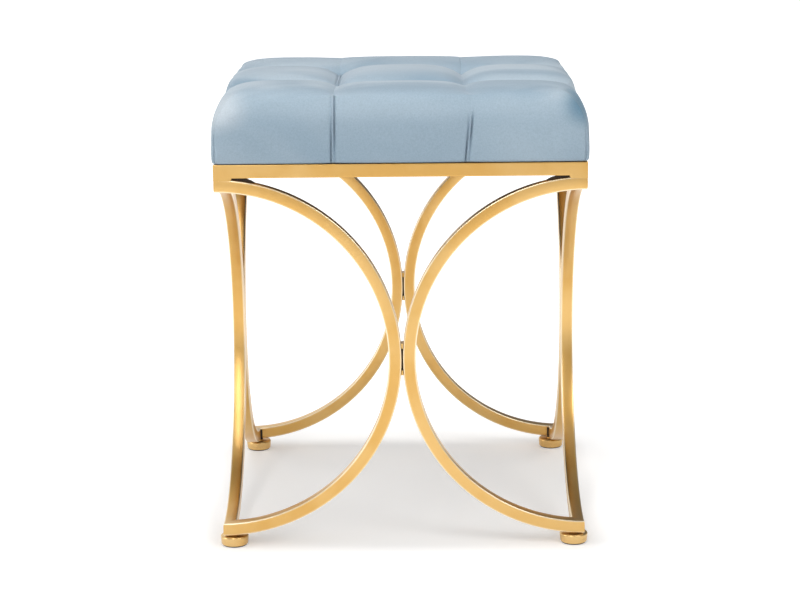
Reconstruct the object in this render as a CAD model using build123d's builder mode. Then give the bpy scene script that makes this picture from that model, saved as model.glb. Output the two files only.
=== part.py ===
"""A square ottoman: a tufted velvet seat on a welded frame of half-circle tube bows.

Millimetres, +Z up. The origin is on the floor, under the middle of the seat.
"""

import os
from math import sqrt

from build123d import *

os.makedirs("parts", exist_ok=True)

# Driving dimensions of the welded frame
FRAME_SIDE = 360.0  # outside of the square frame
TUBE = 13.0  # square tube, across its flats
TUBE_WALL = 1.2
BOW_GAP = 0.8  # between the two bows of a face, where they pass closest
RAIL_GAP = 1.0  # between a bow's top end and the rail, filled by a weld
RAIL_WELD_LENGTH = 18.0
SPOT_WELD_LENGTH = 5.0
SPOT_WELD_RISE = 13.5  # from the waist of a face to the middle of each spot weld
WELD_RECESS = 0.5  # from the tube's faces to the ends of a spot weld

# Driving dimensions of a levelling foot
FOOT_INSET = 10.3  # from the frame's outside faces to the foot's axis
PAD_RADIUS = 14.0
PAD_TOP = 10.5  # from the floor to the pad's top
BOSS_RADIUS = 5.0  # on top of the pad, the stop under the frame
BOSS_HEIGHT = 1.0
STUD_RADIUS = 3.0
STUD_REACH = 11.0  # above the boss, into the nut
STUD_SINK = 7.0  # below the top of the boss, into the pad
NUT_SIDE = 9.0  # square weld nut in the bottom corner of the frame
NUT_LENGTH = 11.5
RUNNING_CLEARANCE = 0.05  # round a stud that turns or slides
END_CLEARANCE = 0.3  # past the ends of the nut in its hole

# Driving dimensions of the plates that carry the seat in the corners
GUSSET_LEG = 60.0
GUSSET_THICKNESS = 2.5
GUSSET_DROP = 1.5  # from the rails' tops to the plates

# Driving dimensions of the seat
SEAT_OVERHANG = 1.0  # how far the velvet cover stands out over the frame's outside faces
COVER_THICKNESS = 1.4  # where its wadding is thinnest: hem, pleats and under the buttons
HEM_WIDTH = 24.0
BOARD_THICKNESS = 12.0
POCKET_CLEARANCE = 0.4  # round the board and the foam inside the cover
BOARD_CORNER = 8.0
DUST_THICKNESS = 0.6
DUST_INSET = 5.0  # from the frame's outside faces to the edge of the dust cover

# Driving dimensions of the tufting, with heights above the hem
TUFT_PITCH = 128.0  # between neighbouring tufts
MIDDLE_RIM = 72.0  # rim of the middle squares
SIDE_RIM = 70.5  # rim of the squares along the sides
CROWN_RISE = 2.5  # from a square's rim to its crest, front to back
CROSS_RISE = 3.3  # the same from side to side
VALLEY_DEPTH = 15.5  # from the middle rim down to the valleys between squares
VALLEY_WIDTH = 18.0
VALLEY_EDGE = 14.0  # rounding of the squares into the valleys
SHOULDER_START = 30.0  # where the sides start to lean in
SHOULDER_RADIUS = 57.0
SHOULDER_EDGE = 16.0  # rounding of the sides into the top
DRAW_IN = 2.5  # how far the sides are drawn in at the hem
DRAW_HEIGHT = 8.0
WALL_TRIM = 0.3  # cut off the upright outline's widest part by the seat's outline from above
PLEAT_WIDTH = 8.0
PLEAT_EDGE = 5.0  # rounding of the sides into the pleats
SEAT_CORNER = 10.0  # rounding of the seat's upright corners
BUTTON_RADIUS = 9.0
BUTTON_HEIGHT = 6.0
BUTTON_SINK = 20.0  # from the middle rim down to the button's seat
BUTTON_CLEARANCE = 1.0  # round a button in its well

# Heights and places that follow from them
half_frame = FRAME_SIDE / 2
half_seat = half_frame + SEAT_OVERHANG
bow_radius = half_frame - BOW_GAP / 2
bow_bottom = PAD_TOP + BOSS_HEIGHT
bow_middle = bow_bottom + bow_radius
rail_bottom = bow_middle + bow_radius + RAIL_GAP
rail_top = rail_bottom + TUBE
gusset_bottom = rail_top - GUSSET_DROP - GUSSET_THICKNESS
hem_bottom = rail_top + DUST_THICKNESS
board_bottom = hem_bottom + COVER_THICKNESS
board_top = board_bottom + BOARD_THICKNESS
button_seat = hem_bottom + MIDDLE_RIM - BUTTON_SINK
foam_top = button_seat - COVER_THICKNESS
foot_at = -half_frame + FOOT_INSET
tuft_at = TUFT_PITCH / 2
crown_height = MIDDLE_RIM + max(CROWN_RISE, CROSS_RISE)
valley_height = MIDDLE_RIM - VALLEY_DEPTH
valley_rise = valley_height - SHOULDER_START
pleat_depth = SHOULDER_RADIUS - sqrt(SHOULDER_RADIUS**2 - valley_rise**2)
half_pocket = half_seat - COVER_THICKNESS - max(DRAW_IN, pleat_depth)
half_board = half_pocket - POCKET_CLEARANCE

# The upright planes of the two front mitres; their normals point along the front
mitre = Plane(origin=(-half_frame, -half_frame, 0), x_dir=(0, 0, 1), z_dir=(1, -1, 0))
right_mitre = Plane(origin=(half_frame, -half_frame, 0), x_dir=(0, 0, 1), z_dir=(-1, -1, 0))
corner_names = ["front_left", "front_right", "back_right", "back_left"]
left_bow_names = ["front_left", "right_front", "back_right", "left_back"]
right_bow_names = ["front_right", "right_back", "back_left", "left_front"]
face_names = ["front", "right", "back", "left"]


def keep(piece, name):
    """Label a finished piece and write it."""
    piece.label = name
    export_step(piece, f"parts/{name}.step")


def keep_turned(piece, stem, names):
    """Write a piece and its three quarter turns round the middle of the seat."""
    for turn, name in enumerate(names):
        keep(piece.rotate(Axis.Z, 90 * turn), f"{stem}_{name}")


def four_turns(piece):
    """Join a solid's four quarter turns into one group of separate solids."""
    with BuildPart() as group:
        for turn in range(4):
            add(piece.rotate(Axis.Z, 90 * turn))
    return group.part


# Top rails: square tube, mitred at both ends
with BuildPart() as rail:
    with BuildSketch(Plane.YZ):
        with Locations((-half_frame + TUBE / 2, rail_bottom + TUBE / 2)):
            Rectangle(TUBE, TUBE)
            Rectangle(TUBE - 2 * TUBE_WALL, TUBE - 2 * TUBE_WALL, mode=Mode.SUBTRACT)
    extrude(amount=half_frame, both=True)
    split(bisect_by=mitre, keep=Keep.TOP)
    split(bisect_by=right_mitre, keep=Keep.TOP)
keep_turned(rail.part, "rail", face_names)

# Bows: the same tube bent to a half circle about the corner of the frame
bow_axis = Axis((-half_frame, 0, bow_middle), (0, 1, 0))
with BuildPart() as bow:
    with BuildSketch(Plane.YZ.offset(-half_frame)):
        with Locations((-half_frame + TUBE / 2, bow_middle + bow_radius - TUBE / 2)):
            Rectangle(TUBE, TUBE)
            Rectangle(TUBE - 2 * TUBE_WALL, TUBE - 2 * TUBE_WALL, mode=Mode.SUBTRACT)
    revolve(axis=bow_axis, revolution_arc=180)
    split(bisect_by=mitre, keep=Keep.TOP)
    with BuildSketch(Plane.XY.offset(bow_bottom - END_CLEARANCE)):
        with Locations((foot_at, foot_at)):
            Rectangle(NUT_SIDE, NUT_SIDE)
    extrude(amount=NUT_LENGTH + 2 * END_CLEARANCE, mode=Mode.SUBTRACT)
keep_turned(bow.part, "bow", left_bow_names)
with BuildPart() as mirrored_bow:
    add(mirror(bow.part, about=Plane.YZ, mode=Mode.PRIVATE))
keep_turned(mirrored_bow.part, "bow", right_bow_names)

# Spot welds: two at the waist of each face, shaped by the bows on either side
with BuildPart() as spot_weld:
    with BuildSketch(Plane.XZ.offset(half_frame - WELD_RECESS)):
        with Locations((0, bow_middle + SPOT_WELD_RISE), (0, bow_middle - SPOT_WELD_RISE)):
            Rectangle(SPOT_WELD_LENGTH, SPOT_WELD_LENGTH)
        with Locations((-half_frame, bow_middle), (half_frame, bow_middle)):
            Circle(bow_radius, mode=Mode.SUBTRACT)
    extrude(amount=-(TUBE - 2 * WELD_RECESS))
keep(four_turns(spot_weld.part), "spot_welds")

# Rail welds: the wedge between each bow's top end and the rail above it
with BuildPart() as rail_weld:
    with BuildSketch(Plane.XZ.offset(half_frame)):
        with Locations((-half_frame, bow_middle)):
            Rectangle(RAIL_WELD_LENGTH, rail_bottom - bow_middle, align=(Align.MIN, Align.MIN))
            Circle(bow_radius, mode=Mode.SUBTRACT)
    extrude(amount=-TUBE)
    split(bisect_by=mitre, keep=Keep.TOP)
with BuildPart() as rail_weld_pair:
    add(rail_weld.part)
    add(mirror(rail_weld.part, about=Plane.YZ, mode=Mode.PRIVATE))
keep(four_turns(rail_weld_pair.part), "rail_welds")

# Gussets: a plate across each rail corner, which the seat is screwed to
with BuildPart() as gusset:
    with BuildSketch(Plane.XY.offset(gusset_bottom)):
        with BuildLine():
            inside = -half_frame + TUBE
            Polyline(
                (inside, inside),
                (inside + GUSSET_LEG, inside),
                (inside, inside + GUSSET_LEG),
                close=True,
            )
        make_face()
    extrude(amount=GUSSET_THICKNESS)
keep_turned(gusset.part, "gusset", corner_names)

# Levelling feet: a nut in the frame, a stud in the nut, and a pad that turns on the stud
with BuildPart() as nut:
    with BuildSketch(Plane.XY.offset(bow_bottom)):
        with Locations((foot_at, foot_at)):
            Rectangle(NUT_SIDE, NUT_SIDE)
            Circle(STUD_RADIUS + RUNNING_CLEARANCE, mode=Mode.SUBTRACT)
    extrude(amount=NUT_LENGTH)
keep(four_turns(nut.part), "foot_nuts")

with BuildPart() as stud:
    with BuildSketch(Plane.XY.offset(bow_bottom - STUD_SINK)):
        with Locations((foot_at, foot_at)):
            Circle(STUD_RADIUS)
    extrude(amount=STUD_SINK + STUD_REACH)
keep_turned(stud.part, "foot_stud", corner_names)

with BuildPart() as pad:
    with BuildSketch(Plane.XY):
        with Locations((foot_at, foot_at)):
            Circle(PAD_RADIUS)
    extrude(amount=PAD_TOP)
    with BuildSketch(Plane.XY.offset(PAD_TOP)):
        with Locations((foot_at, foot_at)):
            Circle(BOSS_RADIUS)
    extrude(amount=BOSS_HEIGHT)
    with BuildSketch(Plane.XY.offset(bow_bottom)):
        with Locations((foot_at, foot_at)):
            Circle(STUD_RADIUS + RUNNING_CLEARANCE)
    extrude(amount=-STUD_SINK, mode=Mode.SUBTRACT)
keep_turned(pad.part, "foot_pad", corner_names)


def seat_profile(rise):
    """The seat's upright outline, hem at zero: drawn-in sides, shoulders and three crowns.

    The crowns rise by that much above their rims.
    """
    half = half_seat + WALL_TRIM
    shoulder_rise = SIDE_RIM - SHOULDER_START
    lean = SHOULDER_RADIUS - sqrt(SHOULDER_RADIUS**2 - shoulder_rise**2)
    half_lean = SHOULDER_RADIUS - sqrt(SHOULDER_RADIUS**2 - (shoulder_rise / 2) ** 2)
    hem = (half - DRAW_IN, 0)
    wall = (half, DRAW_HEIGHT)
    start = (half, SHOULDER_START)
    shoulder = (half - lean, SIDE_RIM)
    outer_lip = (tuft_at + VALLEY_WIDTH / 2, SIDE_RIM)
    inner_lip = (tuft_at - VALLEY_WIDTH / 2, MIDDLE_RIM)
    valley = (tuft_at, valley_height)
    crest_x = (shoulder[0] + outer_lip[0]) / 2
    with BuildSketch() as profile:
        with BuildLine():
            Line((0, 0), hem)
            ThreePointArc(hem, (half - DRAW_IN / 4, DRAW_HEIGHT / 2), wall)
            Line(wall, start)
            ThreePointArc(start, (half - half_lean, SHOULDER_START + shoulder_rise / 2), shoulder)
            ThreePointArc(shoulder, (crest_x, SIDE_RIM + rise), outer_lip)
            Line(outer_lip, valley)
            Line(valley, inner_lip)
            mirror(about=Plane.YZ)
            ThreePointArc(inner_lip, (0, MIDDLE_RIM + rise), (-inner_lip[0], MIDDLE_RIM))
        make_face()
        above_valleys = (valley_height + SIDE_RIM) / 2
        rims = profile.vertices().filter_by_position(Axis.Y, above_valleys, crown_height)
        fillet([v for v in rims if abs(v.X) > crest_x], SHOULDER_EDGE)
        lips = profile.vertices().filter_by_position(Axis.Y, above_valleys, crown_height)
        fillet([v for v in lips if abs(v.X) < crest_x], VALLEY_EDGE)
    return profile.sketch


# The seat from above: rounded corners and two pleats in each side
with BuildSketch() as seat_plan:
    RectangleRounded(2 * half_seat, 2 * half_seat, SEAT_CORNER)
    with PolarLocations(half_seat, 4):
        with Locations((0, tuft_at), (0, -tuft_at)):
            Polygon(
                (0, PLEAT_WIDTH / 2),
                (-pleat_depth, 0),
                (0, -PLEAT_WIDTH / 2),
                align=None,
                mode=Mode.SUBTRACT,
            )
    outer = [v for v in seat_plan.vertices() if max(abs(v.X), abs(v.Y)) > half_seat - pleat_depth / 2]
    fillet([v for v in outer if min(abs(v.X), abs(v.Y)) < tuft_at + PLEAT_WIDTH], PLEAT_EDGE)

# Velvet cover with its wadding: the outline run both ways, pleated, a well for each button,
# and a pocket below for the foam and the board, open inside the hem
across = Plane(origin=(0, 0, hem_bottom), x_dir=(1, 0, 0), z_dir=(0, -1, 0))
along = Plane(origin=(0, 0, hem_bottom), x_dir=(0, 1, 0), z_dir=(1, 0, 0))
with BuildPart() as cover:
    with BuildSketch(across):
        add(seat_profile(CROSS_RISE))
    extrude(amount=2 * half_seat, both=True)
    with BuildSketch(along):
        add(seat_profile(CROWN_RISE))
    extrude(amount=2 * half_seat, both=True, mode=Mode.INTERSECT)
    with BuildSketch(Plane.XY.offset(hem_bottom)):
        add(seat_plan.sketch)
    extrude(amount=crown_height, mode=Mode.INTERSECT)
    with BuildSketch(Plane.XY.offset(button_seat)):
        with GridLocations(TUFT_PITCH, TUFT_PITCH, 2, 2):
            Circle(BUTTON_RADIUS + BUTTON_CLEARANCE)
    extrude(amount=crown_height, mode=Mode.SUBTRACT)
    with BuildSketch(Plane.XY.offset(board_bottom)):
        Rectangle(2 * half_pocket, 2 * half_pocket)
    extrude(amount=foam_top - board_bottom, mode=Mode.SUBTRACT)
    with BuildSketch(Plane.XY.offset(hem_bottom)):
        Rectangle(2 * (half_seat - HEM_WIDTH), 2 * (half_seat - HEM_WIDTH))
    extrude(amount=COVER_THICKNESS, mode=Mode.SUBTRACT)
keep(cover.part, "seat_cover")

# Foam block and the plywood board under it
with BuildPart() as foam:
    with BuildSketch(Plane.XY.offset(board_top)):
        RectangleRounded(2 * half_board, 2 * half_board, BOARD_CORNER)
    extrude(amount=foam_top - board_top)
keep(foam.part, "seat_foam")

with BuildPart() as board:
    with BuildSketch(Plane.XY.offset(board_bottom)):
        RectangleRounded(2 * half_board, 2 * half_board, BOARD_CORNER)
    extrude(amount=BOARD_THICKNESS)
keep(board.part, "seat_board")

# Covered buttons at the four crossings of the valleys
with BuildPart() as buttons:
    with BuildSketch(Plane.XY.offset(button_seat)):
        with GridLocations(TUFT_PITCH, TUFT_PITCH, 2, 2):
            Circle(BUTTON_RADIUS)
    extrude(amount=BUTTON_HEIGHT)
keep(buttons.part, "tuft_buttons")

# Dust cover: a thin sheet between the seat and the rails
with BuildPart() as dust_cover:
    with BuildSketch(Plane.XY.offset(rail_top)):
        Rectangle(FRAME_SIDE - 2 * DUST_INSET, FRAME_SIDE - 2 * DUST_INSET)
    extrude(amount=DUST_THICKNESS)
keep(dust_cover.part, "dust_cover")
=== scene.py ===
# %% [markdown]
# # A tufted velvet ottoman on a gold bow frame
# This lesson dresses a finished CAD model. The CAD parts arrive as a fixed frame in metres,
# +Z up, front towards -Y. Every new piece is built around them and rides on one of their bodies,
# so the levelling feet still screw in and out when the model is posed.

import math

import bmesh
import bpy
import numpy as np
from mathutils import Matrix, Vector


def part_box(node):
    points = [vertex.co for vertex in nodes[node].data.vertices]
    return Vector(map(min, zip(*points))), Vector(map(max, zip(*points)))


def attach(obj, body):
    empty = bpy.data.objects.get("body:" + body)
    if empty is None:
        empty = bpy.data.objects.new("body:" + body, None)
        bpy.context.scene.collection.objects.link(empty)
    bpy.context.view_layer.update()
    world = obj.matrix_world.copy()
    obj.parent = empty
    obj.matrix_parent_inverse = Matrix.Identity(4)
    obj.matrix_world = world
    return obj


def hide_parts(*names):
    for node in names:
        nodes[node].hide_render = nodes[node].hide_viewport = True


bpy.ops.wm.read_factory_settings(use_empty=True)
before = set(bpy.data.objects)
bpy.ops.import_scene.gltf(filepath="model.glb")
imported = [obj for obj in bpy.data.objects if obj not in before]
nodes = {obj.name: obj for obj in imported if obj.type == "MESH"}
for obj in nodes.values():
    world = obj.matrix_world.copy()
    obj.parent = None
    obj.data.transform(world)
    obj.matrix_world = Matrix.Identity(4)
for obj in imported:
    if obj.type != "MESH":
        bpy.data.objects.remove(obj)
scene = bpy.context.scene
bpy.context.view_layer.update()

# %% [markdown]
# The sizes that the pieces share are read from the CAD boxes, so that a new size in the CAD source
# carries over. Only what a box can't tell, such as a rounding, is written here.

# %% Sizes read from the frame
MM = 0.001
BUTTON_RADIUS = 9 * MM
rail_low, rail_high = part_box("rail_front")
bow_low, bow_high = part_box("bow_front_left")
cover_low, cover_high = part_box("seat_cover")
button_low, button_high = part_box("tuft_buttons")
half_frame = rail_high.x
tube = rail_high.z - rail_low.z
bow_radius = (bow_high.z - bow_low.z) / 2
bow_middle = (bow_high.z + bow_low.z) / 2
half_seat = cover_high.x
hem = cover_low.z
crown = cover_high.z
tuft_at = button_high.x - BUTTON_RADIUS
corner_signs = {
    "front_left": (-1, -1),
    "front_right": (1, -1),
    "back_right": (1, 1),
    "back_left": (-1, 1),
}
print("tube", round(tube, 4), "bow radius", round(bow_radius, 4), "tufts at", round(tuft_at, 4))

# %% [markdown]
# ## The camera
# The photograph was taken with a long lens from a little above the seat. The camera stands where a
# fit of the frame's corners to the photograph puts it, with the small roll that the photograph has.

# %% Camera
IMAGE_WIDTH = 800
SENSOR_WIDTH = 36
FOCAL_PIXELS = 2050.6
CAMERA_PLACE = (0.0108, -2.1275, 0.6742)
CAMERA_YAW = 0.365
CAMERA_PITCH = 12.26
CAMERA_ROLL = -0.592

camera_data = bpy.data.cameras.new("camera")
camera_data.sensor_width = SENSOR_WIDTH
camera_data.lens = FOCAL_PIXELS / IMAGE_WIDTH * SENSOR_WIDTH
camera = bpy.data.objects.new("camera", camera_data)
turn = Matrix.Rotation(math.radians(CAMERA_YAW), 4, "Z")
turn = turn @ Matrix.Rotation(math.radians(90 - CAMERA_PITCH), 4, "X")
turn = turn @ Matrix.Rotation(math.radians(CAMERA_ROLL), 4, "Z")
camera.matrix_world = Matrix.Translation(CAMERA_PLACE) @ turn
scene.collection.objects.link(camera)
scene.camera = camera
scene.view_settings.view_transform = "Standard"
print("lens", round(camera_data.lens, 2), "mm")

# %% [markdown]
# ## Node helpers
# Materials are written as node trees. A few small helpers keep them short: they add a node and set
# its inputs, calculate, map a value onto a range, make noise and relief, and mix colours.

# %% Node helpers
def add_node(tree, kind, inputs=(), **settings):
    """Add a node, set its properties, then link or set the named inputs."""
    node = tree.nodes.new(kind)
    for name, value in settings.items():
        setattr(node, name, value)
    for name, value in dict(inputs).items():
        socket = node.inputs[name]
        if isinstance(value, bpy.types.NodeSocket):
            tree.links.new(value, socket)
        else:
            socket.default_value = value
    return node


def calculate(tree, operation, *values):
    """A Math node on one or two values."""
    return add_node(tree, "ShaderNodeMath", enumerate(values), operation=operation).outputs[0]


def vector_step(tree, operation, *values, result="Vector"):
    """A Vector Math node on one or two values."""
    return add_node(tree, "ShaderNodeVectorMath", enumerate(values), operation=operation).outputs[result]


def spread(tree, value, low, high, start=0.0, end=1.0, **settings):
    """Map a value between start and end onto low to high."""
    limits = {"Value": value, "From Min": start, "From Max": end, "To Min": low, "To Max": high}
    return add_node(tree, "ShaderNodeMapRange", limits, **settings).outputs["Result"]


def noise(tree, place, scale, detail, **inputs):
    """Noise of a scale and detail, as a mask."""
    inputs |= {"Vector": place, "Scale": scale, "Detail": detail}
    return add_node(tree, "ShaderNodeTexNoise", inputs).outputs["Fac"]


def relief(tree, height, strength, distance, **inputs):
    """A height as a bumped normal."""
    inputs |= {"Height": height, "Strength": strength, "Distance": distance}
    return add_node(tree, "ShaderNodeBump", inputs).outputs["Normal"]


def blend(tree, mask, under, over):
    """Mix two colours by a mask."""
    inputs = {"Factor": mask, "A": under, "B": over}
    return add_node(tree, "ShaderNodeMix", inputs, data_type="RGBA").outputs["Result"]


def object_place(tree):
    """Where a point lies on its own object."""
    return add_node(tree, "ShaderNodeTexCoord").outputs["Object"]


def add_ramp(tree, value, stops):
    """An eased colour ramp from (position, colour) stops."""
    node = add_node(tree, "ShaderNodeValToRGB", {"Fac": value})
    node.color_ramp.interpolation = "EASE"
    for element, (position, colour) in zip(node.color_ramp.elements, stops):
        element.position = position
        element.color = colour
    return node.outputs["Color"]


print("node helpers ready")

# %% [markdown]
# A material is one Principled shader that is fed a tone, a roughness and a normal. An effect that
# several materials share is a node group: it gives masks, and each material sets its own scales.

# %% Material and group helpers
def new_material(name, inputs=()):
    """A material with one Principled shader; plain numbers go straight onto its sockets."""
    material = bpy.data.materials.new(name)
    material.use_nodes = True
    tree = material.node_tree
    shader = tree.nodes["Principled BSDF"]
    for socket, value in dict(inputs).items():
        shader.inputs[socket].default_value = value
    return material, tree, shader


def feed(tree, shader, tone, rough, normal):
    """Link a tone, a roughness and a normal to a material's shader."""
    tree.links.new(tone, shader.inputs["Base Color"])
    tree.links.new(rough, shader.inputs["Roughness"])
    tree.links.new(normal, shader.inputs["Normal"])


def new_group(name, inputs):
    """A shader node group whose inputs are names with their usual values."""
    group = bpy.data.node_groups.new(name, "ShaderNodeTree")
    for socket, value in inputs.items():
        made = group.interface.new_socket(socket, in_out="INPUT", socket_type="NodeSocketFloat")
        made.default_value = value
    return group, group.nodes.new("NodeGroupInput").outputs


def put_out(group, **outputs):
    """Give a group its outputs: masks, and a normal by that name."""
    sink = group.nodes.new("NodeGroupOutput")
    for name, value in outputs.items():
        kind = "NodeSocketVector" if name == "Normal" else "NodeSocketFloat"
        group.interface.new_socket(name, in_out="OUTPUT", socket_type=kind)
        group.links.new(value, sink.inputs[name])
    return group


def use_group(tree, group, **inputs):
    """Place a group in a material with this material's own values."""
    node = tree.nodes.new("ShaderNodeGroup")
    node.node_tree = group
    for name, value in inputs.items():
        node.inputs[name.replace("_", " ")].default_value = value
    return node.outputs


print("material helpers ready")

# %% [markdown]
# ## Shared effects
# Every real surface is a little uneven: its tone drifts over centimetres and its finish has a fine
# grain. Both are noise, so one group gives a slow Drift, a fine Grain, and the grain's relief as a
# Normal.

# %% Uneven surface group
def make_uneven_group():
    group, given = new_group("uneven surface", {
        "Drift Scale": 8.0, "Grain Scale": 900.0, "Bump": 0.1, "Height": 0.0002,
    })
    place = object_place(group)
    drift = noise(group, place, given["Drift Scale"], 3.0, Roughness=0.55)
    grain = noise(group, place, given["Grain Scale"], 4.0, Roughness=0.65)
    normal = relief(group, grain, given["Bump"], given["Height"])
    return put_out(group, Drift=drift, Grain=grain, Normal=normal)


uneven = make_uneven_group()
print("group:", uneven.name)

# %% [markdown]
# Rounded edges catch the light, and a pale painted highlight stands in for it. A mesh says how much
# in a value on its points, which is 0 where a mesh has none. This group reads it, and Amount sets
# how far it shows.

# %% Painted edge highlight group
def make_edge_glint_group():
    group, given = new_group("painted edge highlight", {"Amount": 1.0})
    glint_share = add_node(group, "ShaderNodeAttribute", attribute_name="glint").outputs["Fac"]
    return put_out(group, Rub=calculate(group, "MULTIPLY", glint_share, given["Amount"]))


edge_glint = make_edge_glint_group()
print("group:", edge_glint.name)

# %% [markdown]
# ## Gold paint
# The tube is steel with a satin gold coat. A metallic shader with a warm base gives the colour, the
# drift varies the tone by a few percent, and the grain gives the polish and the faint orange peel
# that sprayed metal has. A thin clear coat keeps the highlights soft but bright. Along the edges of
# the bent tube a pale painted highlight stands in for the light that the rounded edges catch.

# %% Gold paint
# painted highlight: the pale colour laid on the bows' rounded edges
GLINT_GOLD = (0.98, 0.86, 0.62, 1)


def make_gold(name, deep, pale, rough):
    """Gold paint in two tones, with a pale painted highlight where a mesh marks its edges."""
    material, tree, shader = new_material(name, {
        "Metallic": 1.0, "Coat Weight": 0.25, "Coat Roughness": 0.2,
    })
    skin = use_group(tree, uneven, Drift_Scale=14.0, Grain_Scale=1400.0, Bump=0.12, Height=0.0001)
    tone = add_ramp(tree, skin["Drift"], [(0.38, deep), (0.62, pale)])
    tone = blend(tree, use_group(tree, edge_glint, Amount=1.0)["Rub"], tone, GLINT_GOLD)
    polish = spread(tree, skin["Grain"], rough - 0.05, rough + 0.06)
    feed(tree, shader, tone, polish, skin["Normal"])
    return material


gold = make_gold("gold paint", (0.650, 0.376, 0.104, 1), (0.700, 0.438, 0.152, 1), rough=0.29)
gold_foot = make_gold("gold foot", (0.68, 0.42, 0.145, 1), (0.75, 0.50, 0.205, 1), rough=0.28)
print("materials:", gold.name, gold_foot.name)

# %% [markdown]
# ## Steel
# The parts that hide under the seat still get their own finishes, because the model can be turned
# over. Zinc plated steel is grey with a fine spangle. The studs of the feet are plain rods in the
# CAD, so their thread is a relief in the finish: a wave along Z with one ridge for each pitch.

# %% Zinc steel
THREAD_PITCH = 1 * MM


def make_zinc(name, dark, light, smooth, bump, thread_pitch=None):
    """Zinc plated steel in two tones, with the ridges of a screw thread if a pitch is given."""
    material, tree, shader = new_material(name, {"Metallic": 1.0})
    skin = use_group(tree, uneven, Drift_Scale=120.0, Grain_Scale=2500.0, Bump=bump, Height=0.00005)
    normal = skin["Normal"]
    if thread_pitch:
        height = add_node(tree, "ShaderNodeSeparateXYZ", {"Vector": object_place(tree)}).outputs["Z"]
        turns = calculate(tree, "MULTIPLY", height, 2 * math.pi / thread_pitch)
        normal = relief(tree, calculate(tree, "SINE", turns), 0.8, 0.3 * MM, Normal=normal)
    tone = add_ramp(tree, skin["Drift"], [(0.3, dark), (0.7, light)])
    feed(tree, shader, tone, spread(tree, skin["Grain"], smooth, 0.45), normal)
    return material


zinc = make_zinc("zinc steel", (0.42, 0.43, 0.45, 1), (0.62, 0.63, 0.64, 1), 0.25, 0.15)
thread_steel = make_zinc(
    "threaded steel", (0.38, 0.38, 0.40, 1), (0.58, 0.58, 0.60, 1), 0.3, 0.1, THREAD_PITCH
)
print("materials:", zinc.name, thread_steel.name)

# %% [markdown]
# ## Plywood, nylon and dust cloth
# Plywood shows a long grain, which is noise stretched along the sheet. The soles are black nylon,
# and the dust cover is a black felted cloth of crossing fibres. In these two the grain gives both
# the tone and the relief.

# %% Plywood, nylon and dust cloth
WOOD_STRETCH = (4.0, 90.0, 400.0)


def make_plywood():
    material, tree, shader = new_material("birch plywood")
    skin = use_group(tree, uneven, Drift_Scale=30.0, Grain_Scale=700.0, Bump=0.3, Height=0.0002)
    place = object_place(tree)
    lie = add_node(tree, "ShaderNodeMapping", {"Vector": place, "Scale": WOOD_STRETCH}).outputs[0]
    tone = add_ramp(tree, noise(tree, lie, 1.0, 6.0), [
        (0.35, (0.36, 0.22, 0.11, 1)), (0.65, (0.62, 0.44, 0.26, 1)),
    ])
    feed(tree, shader, tone, spread(tree, skin["Grain"], 0.55, 0.8), skin["Normal"])
    return material


def make_matte(name, dark, light, drift, grain, rough):
    """A matte finish whose grain is both its tone and its relief."""
    material, tree, shader = new_material(name)
    skin = use_group(tree, uneven, Drift_Scale=drift, Grain_Scale=grain, Bump=0.6, Height=0.0002)
    tone = add_ramp(tree, skin["Grain"], [(0.35, dark), (0.65, light)])
    feed(tree, shader, tone, spread(tree, skin["Drift"], rough - 0.08, rough + 0.08), skin["Normal"])
    return material


plywood = make_plywood()
nylon = make_matte("black nylon", (0.012, 0.012, 0.013, 1), (0.03, 0.03, 0.032, 1), 60.0, 1800.0, 0.5)
dust_cloth = make_matte(
    "dust cloth", (0.008, 0.008, 0.009, 1), (0.045, 0.045, 0.05, 1), 40.0, 1300.0, 0.85
)
print("materials:", plywood.name, nylon.name, dust_cloth.name)

# %% [markdown]
# ## Velvet
# Velvet is a short upright pile. Where hands brushed it the pile lies another way and looks paler or
# darker: slow stretched noise gives those strokes, and fine noise gives the fibres and their relief.
# The strokes are strong on the top, where people sit, and faint on the sides.

# %% Nap group
def make_nap_group():
    group, given = new_group("brushed nap", {
        "Stroke Scale": 9.0, "Fibre Scale": 1600.0, "Depth": 0.5, "Calm Below": 0.0,
    })
    place = object_place(group)
    lie = add_node(group, "ShaderNodeMapping", {
        "Vector": place, "Location": (0.37, 0.21, 0.0), "Scale": (0.7, 1.5, 1.1),
    }).outputs[0]
    stroke = noise(group, lie, given["Stroke Scale"], 2.5, Distortion=0.6)
    height = add_node(group, "ShaderNodeSeparateXYZ", {"Vector": place}).outputs["Z"]
    above = calculate(group, "SUBTRACT", height, given["Calm Below"])
    brushed = add_node(group, "ShaderNodeMix", {
        "Factor": spread(group, above, 0.25, 1.0, 0.0, 20 * MM), "A": 0.5, "B": stroke,
    }).outputs["Result"]
    fibre = noise(group, place, given["Fibre Scale"], 3.0, Roughness=0.7)
    normal = relief(group, fibre, given["Depth"], 0.4 * MM)
    return put_out(group, Stroke=brushed, Fibre=fibre, Normal=normal)


nap = make_nap_group()
print("group:", nap.name)

# %% [markdown]
# Seen along the pile velvet is deep in colour, and at grazing angles the fibre tips catch the light,
# so Sheen does part of the work. Seven large patches paint in more light and shade, partly pile
# that lies another way: painted light makes the front shoulder, the middle and the right of the
# front side paler, painted shade makes the front right square and the back deeper, a painted sheen
# makes the front left corner very pale, and painted shade makes the front right corner deep blue.

# %% Velvet
SIDE_NAP_TOP = hem + 50 * MM
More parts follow.
